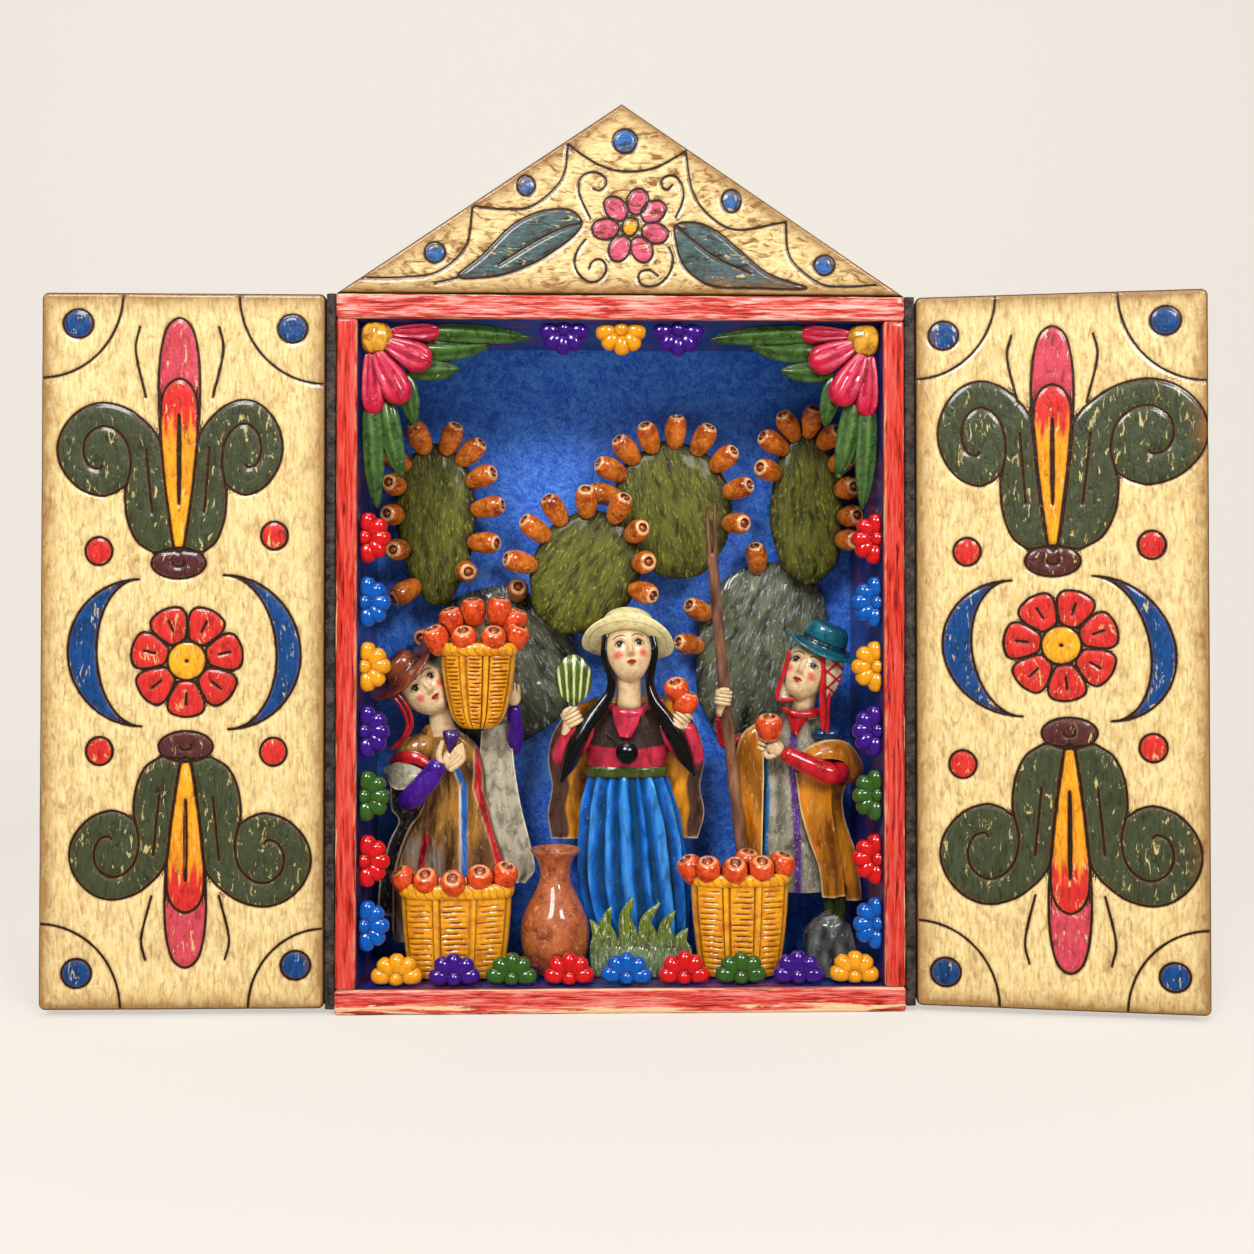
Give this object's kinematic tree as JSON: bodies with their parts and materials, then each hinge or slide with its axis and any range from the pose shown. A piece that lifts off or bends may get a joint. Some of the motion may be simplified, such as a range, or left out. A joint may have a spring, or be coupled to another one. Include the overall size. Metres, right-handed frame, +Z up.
{
  "type": "retablo",
  "caption": "Folk altar box: gabled painted wooden case with leather-hinged doors, opening on moulded figures harvesting prickly pears among flower trim.",
  "frame": {"origin": "centre of the case's flat underside", "axes": "+X to the viewer's right across the front, +Y from the open front to the back panel, +Z up"},
  "size_m": [0.3233, 0.063, 0.2555],
  "materials": {
    "red_painted_board": "red tempera on gessoed pine, dry-brushed with pale pink, worn at the edges",
    "blue_painted_panel": "cobalt blue tempera on thin wood, brushed",
    "cream_gesso_board": "aged cream gesso on pine with incised and painted plant ornament",
    "hinge_leather": "thin dark goat leather, glued on",
    "pink_flower_paste": "moulded potato and plaster paste, painted and varnished",
    "green_cactus_paste": "moulded paste, streaky olive green, varnished",
    "grey_cactus_paste": "moulded paste, grey green with silvery strokes, varnished",
    "yellow_basket_paste": "moulded paste, ochre with brown incised weave, varnished",
    "terracotta_paste": "moulded paste, terracotta colour, semi-gloss",
    "grass_paste": "moulded paste, olive green blades, varnished",
    "rock_paste": "moulded paste, dark grey with silvery dry-brushing",
    "brown_cane_paste": "moulded paste, brown, semi-matt",
    "left_man_paste": "moulded paste, painted dress and face, varnished",
    "woman_paste": "moulded paste, painted dress and face, varnished",
    "right_man_paste": "moulded paste, painted dress and face, varnished",
    "brown_hat_paste": "moulded paste, brown felt colour, semi-gloss",
    "cream_hat_paste": "moulded paste, cream straw colour, semi-matt",
    "teal_hat_paste": "moulded paste, teal felt colour, semi-gloss",
    "red_rosette_paste": "moulded paste, red enamel",
    "blue_rosette_paste": "moulded paste, blue enamel",
    "yellow_rosette_paste": "moulded paste, yellow enamel",
    "purple_rosette_paste": "moulded paste, purple enamel",
    "green_rosette_paste": "moulded paste, green enamel"
  },
  "bodies": {
    "case": {"bottom_board": "red_painted_board", "top_board": "red_painted_board", "left_side_board": "red_painted_board", "right_side_board": "red_painted_board", "back_panel": "blue_painted_panel", "gable_board": "cream_gesso_board", "left_hinge_case_leaf": "hinge_leather", "right_hinge_case_leaf": "hinge_leather", "corner_spray_left": "pink_flower_paste", "corner_spray_right": "pink_flower_paste", "cactus_pad_left": "green_cactus_paste", "cactus_pad_middle_high": "green_cactus_paste", "cactus_pad_middle_low": "green_cactus_paste", "cactus_pad_right": "green_cactus_paste", "cactus_pad_grey_left": "grey_cactus_paste", "cactus_pad_grey_right": "grey_cactus_paste", "floor_basket_left": "yellow_basket_paste", "floor_basket_right": "yellow_basket_paste", "shoulder_basket": "yellow_basket_paste", "water_jar": "terracotta_paste", "grass_clump": "grass_paste", "rock": "rock_paste", "picking_pole": "brown_cane_paste", "left_man": "left_man_paste", "woman": "woman_paste", "right_man": "right_man_paste", "left_man_hat": "brown_hat_paste", "woman_hat": "cream_hat_paste", "right_man_hat": "teal_hat_paste", "rosette_left_1": "blue_rosette_paste", "rosette_left_2": "red_rosette_paste", "rosette_left_3": "green_rosette_paste", "rosette_left_4": "purple_rosette_paste", "rosette_left_5": "yellow_rosette_paste", "rosette_left_6": "blue_rosette_paste", "rosette_left_7": "red_rosette_paste", "rosette_right_1": "blue_rosette_paste", "rosette_right_2": "red_rosette_paste", "rosette_right_3": "green_rosette_paste", "rosette_right_4": "purple_rosette_paste", "rosette_right_5": "yellow_rosette_paste", "rosette_right_6": "blue_rosette_paste", "rosette_right_7": "red_rosette_paste", "rosette_top_1": "purple_rosette_paste", "rosette_top_2": "yellow_rosette_paste", "rosette_top_3": "purple_rosette_paste", "rosette_bottom_1": "yellow_rosette_paste", "rosette_bottom_2": "purple_rosette_paste", "rosette_bottom_3": "green_rosette_paste", "rosette_bottom_4": "red_rosette_paste", "rosette_bottom_5": "blue_rosette_paste", "rosette_bottom_6": "red_rosette_paste", "rosette_bottom_7": "green_rosette_paste", "rosette_bottom_8": "purple_rosette_paste", "rosette_bottom_9": "yellow_rosette_paste"},
    "left_leaf": {"left_door": "cream_gesso_board", "left_hinge_door_leaf": "hinge_leather"},
    "right_leaf": {"right_door": "cream_gesso_board", "right_hinge_door_leaf": "hinge_leather"}
  },
  "joints": [
    {"name": "left_door_hinge", "type": "hinge", "parent": "case", "child": "left_leaf", "pos_m": [-0.08132, -0.025, 0.1], "axis": [0, 0, 1], "range_deg": [0, 180]},
    {"name": "right_door_hinge", "type": "hinge", "parent": "case", "child": "right_leaf", "pos_m": [0.08132, -0.025, 0.1], "axis": [0, 0, -1], "range_deg": [-9.5, 170.5]}
  ]
}
